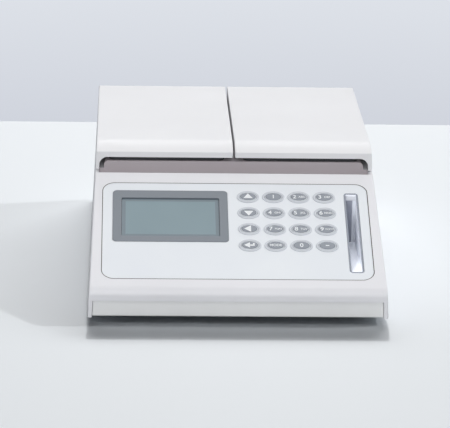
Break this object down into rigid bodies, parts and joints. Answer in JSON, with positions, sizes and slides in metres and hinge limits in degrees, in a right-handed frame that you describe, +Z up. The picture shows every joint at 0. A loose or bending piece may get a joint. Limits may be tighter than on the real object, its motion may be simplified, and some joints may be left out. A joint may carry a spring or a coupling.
{
  "type": "molecular diagnostic analyzer",
  "caption": "Benchtop isothermal test analyzer: sloped key and display panel, twin heated tube bays under rear-hinged lids.",
  "frame": {"origin": "centre of the box's footprint, on the surface that the feet stand on", "axes": "+X to the user's right, +Y from the nose to the back, +Z up"},
  "size_m": [0.21, 0.292, 0.095],
  "materials": {
    "white_plastic": "fine moulded texture, satin",
    "overlay": "smooth printed film",
    "grey_plastic": "smooth satin",
    "key_grey": "satin with pale print",
    "black_plastic": "satin",
    "lens": "clear gloss over a reflective display",
    "pale_liner": "smooth satin",
    "rubber": "matt",
    "gasket": "matt silicone",
    "board": "circuit board with solder mask",
    "block_metal": "bead blasted, clear anodised",
    "panel_steel": "powder coat",
    "steel": "bright zinc plate",
    "heater": "amber film",
    "foam": "closed-cell foam"
  },
  "bodies": {
    "housing": {"base_tray": "white_plastic", "top_cover": "white_plastic", "panel_overlay": "overlay", "display_frame": "grey_plastic", "display_lens": "lens", "display_module": "board", "key_board": "board", "key_domes": "steel", "trough_insert": "grey_plastic", "rear_panel": "panel_steel", "power_switch": "black_plastic", "dc_jack": "black_plastic", "serial_port": "steel", "usb_port": "steel", "main_board": "board", "board_screws": "steel", "case_screws": "steel", "rubber_feet": "rubber", "block_posts": "white_plastic", "buzzer": "black_plastic", "left_block": "block_metal", "right_block": "block_metal", "left_heater": "heater", "right_heater": "heater", "left_insulation": "foam", "right_insulation": "foam", "left_sensors": "board", "right_sensors": "board", "left_pin": "steel", "right_pin": "steel"},
    "left_lid": {"left_lid": "white_plastic", "left_liner": "pale_liner", "left_gasket": "gasket"},
    "right_lid": {"right_lid": "white_plastic", "right_liner": "pale_liner", "right_gasket": "gasket"},
    "power_rocker": {"power_rocker": "black_plastic"},
    "key_up": {"key_up": "key_grey"},
    "key_1": {"key_1": "key_grey"},
    "key_2": {"key_2": "key_grey"},
    "key_3": {"key_3": "key_grey"},
    "key_down": {"key_down": "key_grey"},
    "key_4": {"key_4": "key_grey"},
    "key_5": {"key_5": "key_grey"},
    "key_6": {"key_6": "key_grey"},
    "key_left": {"key_left": "key_grey"},
    "key_7": {"key_7": "key_grey"},
    "key_8": {"key_8": "key_grey"},
    "key_9": {"key_9": "key_grey"},
    "key_enter": {"key_enter": "key_grey"},
    "key_mode": {"key_mode": "key_grey"},
    "key_0": {"key_0": "key_grey"},
    "key_dash": {"key_dash": "key_grey"}
  },
  "joints": [
    {"name": "left_lid_hinge", "type": "hinge", "parent": "housing", "child": "left_lid", "pos_m": [0, 0.1425, 0.0808], "axis": [-1, 0, 0], "range_deg": [0, 95]},
    {"name": "right_lid_hinge", "type": "hinge", "parent": "housing", "child": "right_lid", "pos_m": [0, 0.1425, 0.0808], "axis": [-1, 0, 0], "range_deg": [0, 95]},
    {"name": "power_rocker_tilt", "type": "hinge", "parent": "housing", "child": "power_rocker", "pos_m": [0.05, 0.1296, 0.029], "axis": [0, 0, 1], "range_deg": [0, 18]},
    {"name": "key_up_press", "type": "slide", "parent": "housing", "child": "key_up", "axis": [0, 0.4274, -0.9041], "range_m": [0, 0.0005], "stiffness_N_per_m": 900, "springref_m": -0.0004},
    {"name": "key_1_press", "type": "slide", "parent": "housing", "child": "key_1", "axis": [0, 0.4274, -0.9041], "range_m": [0, 0.0005], "stiffness_N_per_m": 900, "springref_m": -0.0004},
    {"name": "key_2_press", "type": "slide", "parent": "housing", "child": "key_2", "axis": [0, 0.4274, -0.9041], "range_m": [0, 0.0005], "stiffness_N_per_m": 900, "springref_m": -0.0004},
    {"name": "key_3_press", "type": "slide", "parent": "housing", "child": "key_3", "axis": [0, 0.4274, -0.9041], "range_m": [0, 0.0005], "stiffness_N_per_m": 900, "springref_m": -0.0004},
    {"name": "key_down_press", "type": "slide", "parent": "housing", "child": "key_down", "axis": [0, 0.4274, -0.9041], "range_m": [0, 0.0005], "stiffness_N_per_m": 900, "springref_m": -0.0004},
    {"name": "key_4_press", "type": "slide", "parent": "housing", "child": "key_4", "axis": [0, 0.4274, -0.9041], "range_m": [0, 0.0005], "stiffness_N_per_m": 900, "springref_m": -0.0004},
    {"name": "key_5_press", "type": "slide", "parent": "housing", "child": "key_5", "axis": [0, 0.4274, -0.9041], "range_m": [0, 0.0005], "stiffness_N_per_m": 900, "springref_m": -0.0004},
    {"name": "key_6_press", "type": "slide", "parent": "housing", "child": "key_6", "axis": [0, 0.4274, -0.9041], "range_m": [0, 0.0005], "stiffness_N_per_m": 900, "springref_m": -0.0004},
    {"name": "key_left_press", "type": "slide", "parent": "housing", "child": "key_left", "axis": [0, 0.4274, -0.9041], "range_m": [0, 0.0005], "stiffness_N_per_m": 900, "springref_m": -0.0004},
    {"name": "key_7_press", "type": "slide", "parent": "housing", "child": "key_7", "axis": [0, 0.4274, -0.9041], "range_m": [0, 0.0005], "stiffness_N_per_m": 900, "springref_m": -0.0004},
    {"name": "key_8_press", "type": "slide", "parent": "housing", "child": "key_8", "axis": [0, 0.4274, -0.9041], "range_m": [0, 0.0005], "stiffness_N_per_m": 900, "springref_m": -0.0004},
    {"name": "key_9_press", "type": "slide", "parent": "housing", "child": "key_9", "axis": [0, 0.4274, -0.9041], "range_m": [0, 0.0005], "stiffness_N_per_m": 900, "springref_m": -0.0004},
    {"name": "key_enter_press", "type": "slide", "parent": "housing", "child": "key_enter", "axis": [0, 0.4274, -0.9041], "range_m": [0, 0.0005], "stiffness_N_per_m": 900, "springref_m": -0.0004},
    {"name": "key_mode_press", "type": "slide", "parent": "housing", "child": "key_mode", "axis": [0, 0.4274, -0.9041], "range_m": [0, 0.0005], "stiffness_N_per_m": 900, "springref_m": -0.0004},
    {"name": "key_0_press", "type": "slide", "parent": "housing", "child": "key_0", "axis": [0, 0.4274, -0.9041], "range_m": [0, 0.0005], "stiffness_N_per_m": 900, "springref_m": -0.0004},
    {"name": "key_dash_press", "type": "slide", "parent": "housing", "child": "key_dash", "axis": [0, 0.4274, -0.9041], "range_m": [0, 0.0005], "stiffness_N_per_m": 900, "springref_m": -0.0004}
  ]
}
